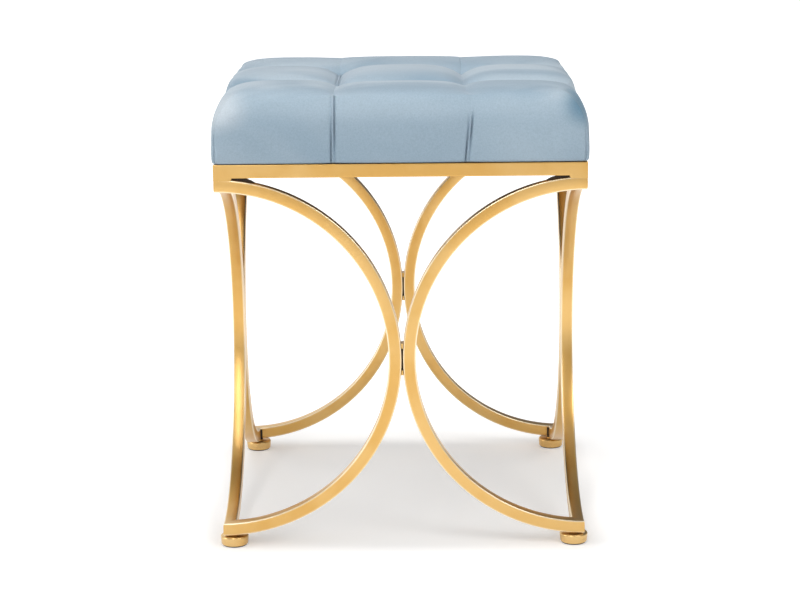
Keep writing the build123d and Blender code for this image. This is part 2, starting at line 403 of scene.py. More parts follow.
# Each patch of painted light and shade: its middle, its half sizes, its colour and how much of that colour
# shows
LIGHT_SHADE_PATCHES = (
    ((-0.010, -0.176, 0.443), (0.260, 0.034, 0.024), (0.395, 0.490, 0.564, 1), 0.55),
    ((-0.040, -0.010, 0.462), (0.190, 0.060, 0.040), (0.430, 0.510, 0.575, 1), 0.75),
    ((0.110, -0.115, 0.460), (0.080, 0.055, 0.040), (0.235, 0.335, 0.420, 1), 0.85),
    ((0.030, 0.125, 0.460), (0.210, 0.065, 0.040), (0.262, 0.358, 0.440, 1), 0.75),
    ((0.122, -0.184, 0.412), (0.080, 0.030, 0.050), (0.410, 0.510, 0.585, 1), 0.40),
    ((-0.176, -0.168, 0.438), (0.040, 0.050, 0.030), (0.640, 0.680, 0.710, 1), 0.55),
    ((0.176, -0.158, 0.438), (0.030, 0.064, 0.028), (0.115, 0.220, 0.305, 1), 0.95),
)


def paint_light_patch(tree, place, tone, patch):
    """Mix a patch of painted light and shade, partly pile that lies another way, into a tone."""
    middle, half_sizes, colour, amount = patch
    share = vector_step(tree, "DIVIDE", vector_step(tree, "SUBTRACT", place, middle), half_sizes)
    away = vector_step(tree, "LENGTH", share, result="Value")
    mask = spread(tree, away, 0.0, amount, 1.0, 0.2, interpolation_type="SMOOTHSTEP")
    return blend(tree, mask, tone, colour)


def make_velvet(name, deep, pale, stroke_scale, calm_below, light_patches=()):
    material, tree, shader = new_material(name, {
        "Sheen Weight": 0.45, "Sheen Roughness": 0.35, "Sheen Tint": (0.92, 0.96, 1.0, 1),
        "Specular IOR Level": 0.15,
    })
    pile = use_group(
        tree, nap, Stroke_Scale=stroke_scale, Fibre_Scale=650.0, Depth=0.6, Calm_Below=calm_below
    )
    tone = add_ramp(tree, pile["Stroke"], [(0.38, deep), (0.64, pale)])
    place = object_place(tree)
    for patch in light_patches:
        tone = paint_light_patch(tree, place, tone, patch)
    speckled = add_node(tree, "ShaderNodeVectorMath", {
        0: tone, "Scale": spread(tree, pile["Fibre"], 0.80, 1.20),
    }, operation="SCALE")
    polish = spread(tree, pile["Stroke"], 0.72, 0.88)
    feed(tree, shader, speckled.outputs["Vector"], polish, pile["Normal"])
    return material


velvet = make_velvet(
    "pale blue velvet", (0.262, 0.360, 0.445, 1), (0.415, 0.500, 0.567, 1), 10.0, SIDE_NAP_TOP, LIGHT_SHADE_PATCHES
)
button_velvet = make_velvet(
    "button velvet", (0.265, 0.350, 0.430, 1), (0.345, 0.435, 0.510, 1), 30.0, 0.0
)
print("materials:", velvet.name, button_velvet.name)

# %% [markdown]
# ## Mesh helpers
# Most of the metal is either a run of square tube or turned on a lathe. Both are a loop of points
# swept through space, so one helper makes skins from rows of points, one puts a finished mesh into
# the scene with its material and body, and one repeats a run of the frame on all four faces.

# %% Mesh helpers
def skin_faces(rows, columns, round_columns=True):
    """Quads between rows of points; the last column meets the first where the loop is closed."""
    faces = []
    for row in range(rows - 1):
        for column in range(columns if round_columns else columns - 1):
            here = row * columns + column
            beside = row * columns + (column + 1) % columns
            faces.append((here, beside, beside + columns, here + columns))
    return faces


def place_piece(name, points, faces, material, body, crisp=40.0):
    """Make an object from points and faces, smooth except at edges sharper than crisp degrees."""
    mesh = bpy.data.meshes.new(name)
    mesh.from_pydata([tuple(p) for p in points], [], faces)
    mesh.validate()
    work = bmesh.new()
    work.from_mesh(mesh)
    bmesh.ops.recalc_face_normals(work, faces=work.faces)
    work.to_mesh(mesh)
    work.free()
    mesh.shade_smooth()
    mesh.set_sharp_from_angle(angle=math.radians(crisp))
    mesh.materials.append(material)
    piece = bpy.data.objects.new(name, mesh)
    scene.collection.objects.link(piece)
    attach(piece, body)
    return piece


def place_runs(prefix, endings, points, columns, material):
    """Put a swept run with capped ends on each of the four faces of the frame."""
    faces = skin_faces(len(points) // columns, columns)
    faces.append(tuple(range(columns)))
    faces.append(tuple(range(len(points) - columns, len(points))))
    pieces = []
    for count, ending in enumerate(endings):
        quarter = Matrix.Rotation(math.pi / 2 * count, 4, "Z")
        turned = [quarter @ p for p in points]
        pieces.append(place_piece(f"{prefix}_{ending}", turned, faces, material, "frame"))
    return pieces


print("mesh helpers ready")

# %% [markdown]
# ## Tube frame
# The real frame is bent and mitred square tube. Each point of the tube's section runs along its own
# line until it meets the upright mitre plane, so the ends come out mitred without any cutting: a
# point that lies deep in the tube simply stops sooner. The four rails are straight runs with flat
# faces and nearly sharp edges.

# %% Rails
RAIL_EDGE = 0.6 * MM
RAIL_ROWS = 9
ARC_STEPS = 4
FACE_SHARES = (0.85, 0.4, 0, -0.4, -0.85)


def rounded_square(side, radius, crown):
    """Points round a square tube, one corner at the origin: round edges, faces crowned by that height."""
    flat = side / 2 - crown - radius
    points = []
    for quarter in range(4):
        turn = math.pi / 2 * quarter
        ring = []
        for step in range(ARC_STEPS + 1):
            angle = math.pi / 2 * step / ARC_STEPS
            ring.append((flat + radius * math.cos(angle), flat + radius * math.sin(angle)))
        for share in FACE_SHARES:
            ring.append((share * flat, flat + radius + crown * (1 - share**2)))
        for x, y in ring:
            points.append((
                side / 2 + x * math.cos(turn) - y * math.sin(turn),
                side / 2 + x * math.sin(turn) + y * math.cos(turn),
            ))
    return points


rail_section = rounded_square(tube, RAIL_EDGE, 0)
straight = [
    Vector((share * (half_frame - deep), deep - half_frame, rail_high.z - down))
    for share in np.linspace(-1, 1, RAIL_ROWS)
    for deep, down in rail_section
]
SIDES = ("front", "right", "back", "left")
rails = place_runs("tube_rail", SIDES, straight, len(rail_section), gold)
for rail, side in zip(rails, SIDES):
    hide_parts(f"rail_{side}")
print("rails:", len(rails))

# %% [markdown]
# The eight bows are half circles of the same tube. Bending rounds its edges and leaves the faces a
# little crowned, and the rounded edges carry a pale painted highlight. The section's points come in
# a fixed order, edge then face, so the highlight of one quarter is written once and repeated.

# %% Bows
BOW_STEPS = 64
BOW_EDGE = 1.1 * MM
BOW_CROWN = 0.25 * MM
# painted highlight: how much of it each edge point of a quarter carries; the faces carry none
EDGE_GLINT = [0.3, 0.85, 0.85, 0.85, 0.3]
bow_section = rounded_square(tube, BOW_EDGE, BOW_CROWN)
glint_values = (EDGE_GLINT + [0.0] * len(FACE_SHARES)) * 4 * (BOW_STEPS + 1)


def bow_points():
    """The bow to the left of the front, from its lower mitre to its upper one."""
    rows = []
    for share in np.linspace(-1, 1, BOW_STEPS + 1):
        for deep, inward in bow_section:
            reach = bow_radius - inward
            angle = share * math.acos(deep / reach)
            rows.append(Vector((
                reach * math.cos(angle) - half_frame,
                deep - half_frame,
                bow_middle + reach * math.sin(angle),
            )))
    return rows


left_bow = bow_points()
right_bow = [Vector((-p.x, p.y, p.z)) for p in left_bow]
bow_names = (
    (left_bow, ("front_left", "right_front", "back_right", "left_back")),
    (right_bow, ("front_right", "right_back", "back_left", "left_front")),
)
for shape, names in bow_names:
    bows = place_runs("tube_bow", names, shape, len(bow_section), gold)
    for bow, name in zip(bows, names):
        bow.data.attributes.new("glint", "FLOAT", "POINT").data.foreach_set("value", glint_values)
        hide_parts(f"bow_{name}")
print("bows: 8, faces each:", len(bow.data.polygons))

# %% [markdown]
# ## Welds
# Where a bow's end meets the rail the groove was filled with weld and ground flush, so the corner
# looks like one block. Each fill is a short run round the corner, flush with the tube and thinner
# at both ends.

# %% Corner fills
FILL_LENGTH = 17.5 * MM
FILL_OVERLAP = 1.8 * MM
FILL_DEPTH = 2.4 * MM
FILL_SHARES = (1.0, 0.93, 0.8, 0.5, 0.0, -0.5, -0.8, -0.93, -1.0)
PROUD = 0.02 * MM
END_THIN = 0.25
END_SINK = 1.2 * MM
fill_low = bow_high.z - FILL_OVERLAP
fill_high = rail_low.z + FILL_OVERLAP
fill_middle = (fill_low + fill_high) / 2
fill_section = [(-PROUD, fill_low), (-PROUD, fill_high), (FILL_DEPTH, fill_high), (FILL_DEPTH, fill_low)]


def fill_points():
    """A run from the front face round the corner to the left face."""
    rows = []
    for share in FILL_SHARES:
        thin = END_THIN if abs(share) == 1.0 else 1.0
        for deep, height in fill_section:
            run = max(abs(share) * FILL_LENGTH, deep)
            z = fill_middle + (height - fill_middle) * thin
            sunk = deep + (1 - thin) * END_SINK
            x, y = (run, sunk) if share >= 0 else (sunk, run)
            rows.append(Vector((x - half_frame, y - half_frame, z)))
    return rows


fills = place_runs("corner_fill", range(4), fill_points(), len(fill_section), gold)
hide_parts("rail_welds")
print("corner fills:", len(fills))

# %% [markdown]
# Two gaps stay dark on the real frame: the slit where the two bows of a face pass each other, and
# the narrow wedge between each bow's end and its rail. Both lie in deep shade. Thin closed dark
# strips, set back from the face, close them: painted shade.

# %% Slit and wedge strips
SLIT_HALF = 12.5 * MM
SLIT_LAP = 0.2 * MM
SLIT_FRONT, SLIT_BACK = 3.5 * MM, 9.5 * MM
WEDGE_LENGTH = 24 * MM
WEDGE_START = FILL_LENGTH - 2 * MM
WEDGE_SINK = 0.4 * MM
WEDGE_LAP = 0.5 * MM
WEDGE_TIP = 0.6 * MM
WEDGE_POWER = 0.7
WEDGE_FRONT, WEDGE_BACK = 4 * MM, 9 * MM
# painted shade: a near-black matte for the shade in the narrow gaps
gap_shade = make_matte("painted gap shade", (0.012, 0.007, 0.003, 1), (0.05, 0.028, 0.012, 1), 60.0, 1500.0, 0.6)
slit_gap = -bow_high.x


def slit_shade_points():
    """A thin closed dark strip of painted shade that follows the slit between two bows."""
    rows = []
    for rise in np.linspace(-1, 1, 11) * SLIT_HALF:
        wide = slit_gap + bow_radius - math.sqrt(bow_radius**2 - rise**2) + SLIT_LAP
        for x, deep in ((-wide, SLIT_FRONT), (wide, SLIT_FRONT), (wide, SLIT_BACK), (-wide, SLIT_BACK)):
            rows.append(Vector((x, deep - half_frame, bow_middle + rise)))
    return rows


def wedge_points(mirror):
    """A dark strip of painted shade in the narrow end of the wedge between a bow and its rail, thinning to
    its tip.
    """
    rows = []
    for share in np.linspace(0, 1, 9):
        run = WEDGE_START + share * WEDGE_LENGTH
        low = bow_middle + math.sqrt(bow_radius**2 - run**2) - WEDGE_SINK
        gap = rail_low.z + WEDGE_LAP - low
        high = low + gap * (1 - share) ** WEDGE_POWER + WEDGE_TIP * share
        for z, deep in ((low, WEDGE_FRONT), (high, WEDGE_FRONT), (high, WEDGE_BACK), (low, WEDGE_BACK)):
            rows.append(Vector((mirror * (run - half_frame), deep - half_frame, z)))
    return rows


strips = {"slit_bead": slit_shade_points(), "wedge_left": wedge_points(1), "wedge_right": wedge_points(-1)}
for name, strip in strips.items():
    place_runs(name, range(4), strip, 4, gap_shade)
print("strips:", 4 * len(strips), "slit", round(2 * slit_gap * 1000, 2), "mm")

# %% [markdown]
# ## Lathe
# Feet, buttons, washers and screws are all round. A lathe profile of (radius, height) points, drawn
# from the middle outwards, is turned about the piece's own axis.

# %% Lathe helpers
AXIS_GAP = 0.05 * MM


def place_turned(name, profile, axis, material, body, segments=48):
    """Turn a lathe profile about an upright axis and put it into the scene."""
    points = []
    for radius, height in profile:
        for step in range(segments):
            angle = 2 * math.pi * step / segments
            points.append(axis + Vector((radius * math.cos(angle), radius * math.sin(angle), height)))
    return place_piece(name, points, skin_faces(len(profile), segments), material, body)


def arc_points(centre, radius, start, end, steps=5):
    """Points of an arc, in degrees, as (radius, height) pairs of a lathe profile."""
    angles = [math.radians(start + (end - start) * step / steps) for step in range(steps + 1)]
    return [(centre[0] + radius * math.cos(a), centre[1] + radius * math.sin(a)) for a in angles]


print("lathe ready")

# %% [markdown]
# Each foot is a turned pad with a rounded rim and a low collar, on a threaded stud. A black nylon
# sole shows as a thin line under the pad.

# %% Feet
SOLE = 1.0 * MM
SOLE_SHARE = 0.84
RIM_TOP = 1.9 * MM
RIM_BOTTOM = 1.2 * MM
PAD_TAPER = 0.6 * MM
COLLAR_RISE = 1 * MM
COLLAR_SHARE = 0.36
for corner in corner_signs:
    pad_low, pad_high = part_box(f"foot_pad_{corner}")
    stud_low, stud_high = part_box(f"foot_stud_{corner}")
    axis = Vector(((pad_low.x + pad_high.x) / 2, (pad_low.y + pad_high.y) / 2, 0))
    radius = (pad_high.x - pad_low.x) / 2
    bore = (stud_high.x - stud_low.x) / 2 + AXIS_GAP
    top = pad_high.z - COLLAR_RISE
    collar = radius * COLLAR_SHARE
    profile = [(bore, stud_low.z), (bore, pad_high.z), (collar, pad_high.z), (collar, top)]
    profile += arc_points((radius - RIM_TOP, top - RIM_TOP), RIM_TOP, 90, 0)
    profile += arc_points((radius - RIM_BOTTOM - PAD_TAPER, SOLE + RIM_BOTTOM), RIM_BOTTOM, 0, -90)
    profile += [(AXIS_GAP, SOLE)]
    body = f"foot_{corner}"
    pad = place_turned(f"turned_pad_{corner}", profile, axis, gold_foot, body)
    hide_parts(f"foot_pad_{corner}")
    sole_edge = radius * SOLE_SHARE
    sole_profile = [(AXIS_GAP, 0.0), (sole_edge, 0.0)]
    sole_profile += arc_points((sole_edge, SOLE / 2), SOLE / 2, -90, 90) + [(AXIS_GAP, SOLE)]
    place_turned(f"sole_{corner}", sole_profile, axis, nylon, body)
print("feet: 4, pad radius", round(radius, 4))

# %% [markdown]
# ## The tufted cushion
# The seat is upholstered: velvet over wadding and foam, drawn down at four points and along two
# lines each way, so that nine soft squares swell between them, and the front lines run on down the
# side as pinched pleats. It starts as a blank that is blown up later. First comes its outline: the
# sides stand upright, lean in over a wide shoulder, and tuck in at the hem.

# %% Seat outline
SHOULDER_START = 36 * MM
FRONT_SHOULDER = 31 * MM
BACK_SHOULDER = 39 * MM
SHOULDER_RADIUS = 52 * MM
RIM = 64 * MM
EDGE_OUT = 0.6 * MM
HEM_EDGE = 2.2 * MM
HEM_PULL = 0.6 * MM
HEM_REACH = 12 * MM


def soft_step(value, low, high):
    """0 below low, 1 above high, eased between them."""
    share = np.clip((value - low) / (high - low), 0, 1)
    return share * share * (3 - 2 * share)


def lean(height, start=SHOULDER_START):
    """How far a side leans in at a height above the hem, when its shoulder starts at that height."""
    rise = np.clip(height - start, 0, 0.95 * SHOULDER_RADIUS)
    return SHOULDER_RADIUS - np.sqrt(SHOULDER_RADIUS**2 - rise**2)


def tuck(height):
    """How far the hem is pulled in under the seat's edge."""
    left = np.clip(1 - height / HEM_EDGE, 0, 1)
    edge = HEM_EDGE * (1 - np.sqrt(1 - left**2))
    return edge + HEM_PULL * np.clip(1 - height / HEM_REACH, 0, 1) ** 2


def half_widths(height, back):
    """Half the seat's width and depth at a height; the squares at the front have softer shoulders."""
    to_back = soft_step(back, -1.4 * tuft_at, -0.6 * tuft_at)
    start = FRONT_SHOULDER + (BACK_SHOULDER - FRONT_SHOULDER) * to_back
    edge = half_seat + EDGE_OUT - tuck(height)
    return edge - lean(height, start), edge - lean(height)


top_half = half_seat + EDGE_OUT - lean(RIM)
print("half the seat", round(half_seat, 4), "half its top", round(top_half, 4))

# %% [markdown]
# The blank is a box of grid lines. They crowd together at the tuft lines and at the rim, where the
# form needs points, and stay far apart where it is smooth. Quads join the points on the box's skin.

# %% Lattice
NEAR_LINE = [0, 0.6, 1.1, 1.6, 2.1, 2.8, 4.2, 6.8, 11, 17, 25, 35]
TO_MIDDLE = NEAR_LINE + [45, 55]
TO_RIM = NEAR_LINE + [47, 59, 70, 79, 86, 91, 94.5, 96.5, 97.4, 98, 98.6, 99.6, 101]
LEVELS = [0, 0.6, 1.5, 3, 5.5, 9, 13, 18, 23, 28, 33, 38, 43, 48, 52.5, 56.5, 59.5, 62]


def box_surface(count, height):
    """Lattice points on the surface of a box and the quads between them."""
    index = {}

    def at(i, j, k):
        return index.setdefault((i, j, k), len(index))

    faces = []
    end = count - 1
    top = height - 1
    for i in range(end):
        for j in range(end):
            faces.append((at(i, j, top), at(i + 1, j, top), at(i + 1, j + 1, top), at(i, j + 1, top)))
            faces.append((at(i, j, 0), at(i, j + 1, 0), at(i + 1, j + 1, 0), at(i + 1, j, 0)))
    for k in range(top):
        for i in range(end):
            faces.append((at(i, 0, k), at(i + 1, 0, k), at(i + 1, 0, k + 1), at(i, 0, k + 1)))
            faces.append((at(i + 1, end, k), at(i, end, k), at(i, end, k + 1), at(i + 1, end, k + 1)))
            faces.append((at(0, i + 1, k), at(0, i, k), at(0, i, k + 1), at(0, i + 1, k + 1)))
            faces.append((at(end, i, k), at(end, i + 1, k), at(end, i + 1, k + 1), at(end, i, k + 1)))
    return np.array(sorted(index, key=index.get)), faces


inner = tuft_at - np.array(TO_MIDDLE) * MM
outer = tuft_at + np.array(TO_RIM[1:]) * (top_half - tuft_at) / TO_RIM[-1]
lines = np.concatenate([-outer[::-1], -inner, [0], inner[::-1], outer])
levels = np.append(np.array(LEVELS) * MM, RIM)
lattice, cushion_faces = box_surface(len(lines), len(levels))
print("grid lines", len(lines), "levels", len(levels), "lattice points", len(lattice))

# %% [markdown]
# Nine pillows rise between the tuft lines. Each has its own height, and each row says how far its
# squares are parted: the middle row nearly all the way down, the back row hardly at all. A tuft is
# deepest at its button and fades along its lines. Towards the back the lines almost vanish, and at
# the sides they stay deep enough to notch the outline.

# %% Pillows and tuft lines
LOBE_RISE = np.array([[8.0, 6.3, 5.8], [9.5, 10.2, 9.0], [6.6, 7.0, 6.2]]) * MM
LOBE_PART = np.array([0.65, 0.9, 0.12])
PILLOW_POWER = 4
TUFT_DEPTH = 5 * MM
BETWEEN = 3.2 * MM
FADE_REACH = 28 * MM
# Depths of a line: a little way past its last button, and at the seat's edge
FRONT_FADE = (1.8 * MM, 0.4 * MM)
BACK_FADE = (0.15 * MM, 0.0)
LEFT_NOTCH = (2.2 * MM, 4 * MM)
RIGHT_NOTCH = (2.4 * MM, 9 * MM)
SIDE_FADE = (1.5 * MM, 1 * MM)


def line_depth(along, low_end, high_end):
    """Depth of a tuft line: full at the buttons, less between them, fading to its two ends."""
    near = tuft_at + FADE_REACH
    places = np.array([-top_half, -near, -tuft_at, 0, tuft_at, near, top_half])
    depths = np.array([low_end[1], low_end[0], TUFT_DEPTH, BETWEEN, TUFT_DEPTH, high_end[0], high_end[1]])
    return np.interp(along, places, depths)


def lobe_share(line):
    """Which of the three squares a grid line lies in, and its place there from -1 to 1, the rim."""
    square = np.where(line < -tuft_at, 0, np.where(line > tuft_at, 2, 1))
    outside = 2 * (np.abs(line) - tuft_at) / (top_half - tuft_at) - 1
    return square, np.where(square == 1, -np.abs(line) / tuft_at, outside)


def pillow(place, part):
    """Cross section of a square: round at the rim, and down towards its neighbour by the share part."""
    return 1 - np.where(place < 0, part, 1.0) * np.abs(place) ** PILLOW_POWER


def fan_out(line, width):
    """Move grid lines outside the tuft lines so that the outermost reaches width."""
    outside = np.clip(np.abs(line) - tuft_at, 0, None)
    inside = np.minimum(np.abs(line), tuft_at)
    return np.sign(line) * (inside + outside * (width - tuft_at) / (top_half - tuft_at))


def valley(distance, width):
    """Cross section of a drawn line, 1 on the line: a tight crease in a wide hollow."""
    crease = np.exp(-((np.abs(distance) / width) ** 1.2))
    return 0.6 * crease + 0.4 * np.exp(-((distance / (3 * width)) ** 2))


print("highest pillow", round(LOBE_RISE.max() * 1000, 1), "mm, deepest line", TUFT_DEPTH * 1000, "mm")

# %% [markdown]
# Each lattice point now gets its place: out to the outline, up on its pillow, down by the deeper of
# its two nearest tuft lines, and in at the notches and the rounded corners. Points on the tuft lines
# and at the hem are held when the cushion is blown up.

# %% Cushion blank
VALLEY_WIDTH = 7.5 * MM
DIMPLE = 5 * MM
DIMPLE_REACH = 11 * MM
SIDE_VALLEY = 5 * MM
SIDE_PULL = 1.6 * MM
SIDE_DROP = 0.9
NOTCH_PULL = 3.5 * MM
NOTCH_REACH = 28 * MM
HEM_CORNER = 4 * MM
TOP_CORNER = 28 * MM
BACK_CORNER = 15 * MM
CORNER_CUT = 0.29
ON_LINE = 0.4 * MM
HELD_LEVELS = 3


def corner_cut(x, y, height, width, depth_half):
    """How far a point near an upright corner moves in along both axes to round it."""
    corner = HEM_CORNER + (np.where(y < 0, TOP_CORNER, BACK_CORNER) - HEM_CORNER) * (height / RIM) ** 2
    into_x = np.clip(corner - (width - np.abs(x)), 0, None) / corner
    into_y = np.clip(corner - (depth_half - np.abs(y)), 0, None) / corner
    return CORNER_CUT * corner * into_x * into_y


def blank_points(lattice):
    """Bend the lattice to the seat's outline with its tuft lines; also say which points are held."""
    height = levels[lattice[:, 2]]
    width, depth_half = half_widths(height, lines[lattice[:, 1]])
    x = fan_out(lines[lattice[:, 0]], width)
    y = fan_out(lines[lattice[:, 1]], depth_half)
    off_x = np.abs(x) - tuft_at
    off_y = np.abs(y) - tuft_at
    on_top = lattice[:, 2] == len(levels) - 1
    on_side = (lattice[:, :2] == 0) | (lattice[:, :2] == len(lines) - 1)
    column, across = lobe_share(lines[lattice[:, 0]])
    row, along = lobe_share(lines[lattice[:, 1]])
    dome = LOBE_RISE[row, column] * pillow(across, LOBE_PART[row]) * pillow(along, 1.0)
    depth_x = line_depth(y, FRONT_FADE, BACK_FADE) * valley(off_x, VALLEY_WIDTH)
    front_line = line_depth(x, LEFT_NOTCH, RIGHT_NOTCH)
    back_line = line_depth(x, SIDE_FADE, SIDE_FADE)
    depth_y = np.where(y < 0, front_line, back_line) * valley(off_y, VALLEY_WIDTH)
    dimple = DIMPLE * np.exp(-(off_x**2 + off_y**2) / DIMPLE_REACH**2)
    depth = np.maximum(depth_x, depth_y) + dimple
    fade = np.clip((height - 0.45 * RIM) / (0.55 * RIM), 0, 1) ** 2
    z = height + np.where(on_top, dome - depth, -SIDE_DROP * fade * depth)
    near_x = np.where(on_side[:, 1], valley(off_x, SIDE_VALLEY), 0)
    near_y = np.where(on_side[:, 0], valley(off_y, SIDE_VALLEY), 0)
    drawn = NOTCH_PULL * np.exp(-(((y + tuft_at) / NOTCH_REACH) ** 2)) * soft_step(height, 0.5 * RIM, RIM)
    x = x * (1 - drawn / width) - np.sign(x) * SIDE_PULL * near_y
    y = y - np.sign(y) * SIDE_PULL * near_x
    cut = corner_cut(x, y, height, width, depth_half)
    points = np.stack([x - np.sign(x) * cut, y - np.sign(y) * cut, hem + z], axis=1)
    on_line = np.minimum(np.abs(off_x), np.abs(off_y)) < ON_LINE
    held = (lattice[:, 2] < HELD_LEVELS) | (on_line & (on_top | (height > 0.5 * RIM)))
    return points, held


blank, held = blank_points(lattice)
cushion = place_piece("velvet_cushion", blank, cushion_faces, velvet, "frame", crisp=180)
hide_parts("seat_cover", "seat_foam")
print("cushion points", len(blank), "held", int(held.sum()))

# %% [markdown]
# Foam under a tight cover pushes out everywhere and is held only by the twine, the pleats and the
# staples. A cloth simulation does the same: pressure from inside, held points pinned, no gravity.
# Twenty steps settle it. How far a point may travel is capped, so the seat keeps its size.

# %% Blow the cushion up
SWELL_STEPS = 20
SWELL_CAP = 6 * MM
SWELL_PRESSURE = 4.0
CLOTH = {
    "quality": 4, "mass": 0.02, "air_damping": 4, "tension_stiffness": 12, "compression_stiffness": 12,
    "shear_stiffness": 6, "bending_stiffness": 0.4, "use_pressure": True,
    "uniform_pressure_force": SWELL_PRESSURE, "vertex_group_mass": "held",
}


def read_points(mesh):
    """A mesh's points as rows of x, y, z."""
    flat = np.empty(len(mesh.vertices) * 3)
    mesh.vertices.foreach_get("co", flat)
    return flat.reshape(-1, 3)


def move_points(piece, points):
    """Give a piece's mesh new points."""
    piece.data.vertices.foreach_set("co", points.ravel())
    piece.data.update()


def swell(piece, held):
    """Run the cloth simulation on a copy, cap the movement and return the new points."""
    copy = bpy.data.objects.new("swelling", piece.data.copy())
    scene.collection.objects.link(copy)
    pins = copy.vertex_groups.new(name="held")
    pins.add([int(i) for i in np.flatnonzero(held)], 1.0, "REPLACE")
    cloth = copy.modifiers.new("cloth", "CLOTH")
    for name, value in CLOTH.items():
        setattr(cloth.settings, name, value)
    cloth.settings.effector_weights.gravity = 0
    cloth.collision_settings.use_collision = False
    cloth.point_cache.frame_start = 1
    cloth.point_cache.frame_end = SWELL_STEPS
    for step in range(1, SWELL_STEPS + 1):
        scene.frame_set(step)
    swollen = read_points(copy.evaluated_get(bpy.context.evaluated_depsgraph_get()).data)
    start = read_points(piece.data)
    scene.frame_set(1)
    mesh = copy.data
    bpy.data.objects.remove(copy)
    bpy.data.meshes.remove(mesh)
    move = swollen - start
    length = np.linalg.norm(move, axis=1)
    share = np.minimum(1, SWELL_CAP / np.maximum(length, 1e-9))
    print("swell: longest move", round(length.max() * 1000, 2), "mm, mean", round(length.mean() * 1000, 2))
    return start + move * share[:, None]


shaped = swell(cushion, held)
print("cushion top", round(shaped[:, 2].max(), 4), "half width", round(shaped[:, 0].max(), 4))

# %% [markdown]
# The pleats are pinched folds: a thin crest of cloth with a groove on each side. Each one is a line
# up a side, straight or a little slanted, and the points beside it are pushed in or out across it.
# On its way up the left groove fades and the right one deepens, because the fold lies over. The same
# crest joins the two left-hand buttons, and runs from the front buttons to the side edges.

# %% Pinched folds
FOLD_HALF = 1.6 * MM
GROOVE_WIDTH = 0.6 * MM
CREST_WIDTH = 0.9 * MM
SIDE_CREST = 0.8 * MM
SIDE_BAND = 20 * MM
SHIFT_REACH = 22 * MM
TOP_FADE = 12 * MM
END_FADE = 14 * MM
FRONT, BACK, LEFT, RIGHT = (1, -1), (1, 1), (0, -1), (0, 1)


def fold_profile(distance, left, right, crest):
    """How far a fold pushes the cloth across its line: two grooves with a crest between them."""
    sunk = left * np.exp(-(((distance + FOLD_HALF) / GROOVE_WIDTH) ** 2))
    sunk = sunk + right * np.exp(-(((distance - FOLD_HALF) / GROOVE_WIDTH) ** 2))
    return crest * np.exp(-((distance / CREST_WIDTH) ** 2)) - sunk


def side_fold(points, side, at, top, groove, slant, shift=0.0):
    """Pinch one fold into a side: side is an axis and a sign, at its place along the other axis."""
    axis, sign = side
    along = 1 - axis
    height = points[:, 2] - hem
    on_side = soft_step(sign * points[:, axis], top_half - SIDE_BAND, top_half)
    near = np.exp(-(((points[:, along] - at) / SHIFT_REACH) ** 2))
    moved = shift + slant * (height / RIM - 0.5)
    points[:, along] += moved * near * on_side
    fade = soft_step(height, -1 * MM, 3 * MM) * (1 - soft_step(height, top - TOP_FADE, top)) * on_side
    left = groove * (1 - 0.7 * soft_step(height, 12 * MM, 46 * MM))
    right = groove * (0.25 + 0.75 * soft_step(height, 4 * MM, 32 * MM))
    points[:, axis] += sign * fold_profile(points[:, along] - at - moved, left, right, SIDE_CREST) * fade


def top_fold(points, axis, at, start, end, crest, groove):
    """Raise one fold on the top along a tuft line, from start to end."""
    along = points[:, 1 - axis]
    on_top = soft_step(points[:, 2] - hem, RIM - 14 * MM, RIM - 10 * MM)
    reach = soft_step(along, start, start + END_FADE) * (1 - soft_step(along, end - END_FADE, end))
    points[:, 2] += fold_profile(points[:, axis] - at, groove, groove, crest) * on_top * reach


folded = shaped.copy()
side_fold(folded, FRONT, -tuft_at, 78 * MM, 4.6 * MM, slant=0.6 * MM, shift=-0.4 * MM)
side_fold(folded, FRONT, tuft_at, 50 * MM, 4.6 * MM, slant=5.7 * MM, shift=2.9 * MM)
for side in (BACK, LEFT, RIGHT):
    side_fold(folded, side, -tuft_at, 66 * MM, 3.0 * MM, slant=3 * MM)
    side_fold(folded, side, tuft_at, 56 * MM, 3.0 * MM, slant=-4 * MM)
top_fold(folded, 0, -tuft_at, -tuft_at + 4 * MM, tuft_at - 4 * MM, 2.2 * MM, 2.0 * MM)
top_fold(folded, 1, -tuft_at, -top_half - 4 * MM, -tuft_at - 30 * MM, 3.2 * MM, 0.8 * MM)
top_fold(folded, 1, -tuft_at, tuft_at + 16 * MM, top_half + 4 * MM, 3.2 * MM, 0.8 * MM)
print("folds: 8 on the sides, 3 on the top")

# %% [markdown]
# At each corner the spare cloth of the side is folded in behind the front, or the back, and only a
# narrow strip of it shows. From the hem to half way up, a groove parts that strip from the panel.

# %% Corner folds
STRIP = 3.5 * MM
STRIP_BACK = 1.0 * MM
STRIP_GROOVE = 3.2 * MM
STRIP_GROOVE_WIDTH = 0.55 * MM
STRIP_TOP = 42 * MM


def corner_fold(points):
    """Set back the strips beside the corners on the front and the back."""
    height = points[:, 2] - hem
    width, depth_half = half_widths(height, points[:, 1])
    from_corner = width - np.abs(points[:, 0])
    on_panel = soft_step(np.abs(points[:, 1]), depth_half - 6 * MM, depth_half - 4 * MM)
    rising = 1 - soft_step(height, STRIP_TOP - 10 * MM, STRIP_TOP)
    fade = soft_step(height, -1 * MM, 2 * MM) * rising * on_panel
    groove = STRIP_GROOVE * np.exp(-(((from_corner - STRIP) / STRIP_GROOVE_WIDTH) ** 2))
    strip = STRIP_BACK * (1 - soft_step(from_corner, STRIP - 0.8 * MM, STRIP))
    points[:, 1] -= np.sign(points[:, 1]) * (groove + strip) * fade


corner_fold(folded)
move_points(cushion, folded)
print("corner folds: 4, strips", STRIP * 1000, "mm wide")

# %% [markdown]
# One subdivision rounds off the small facets that the folds leave, as the wadding does under real
# velvet.

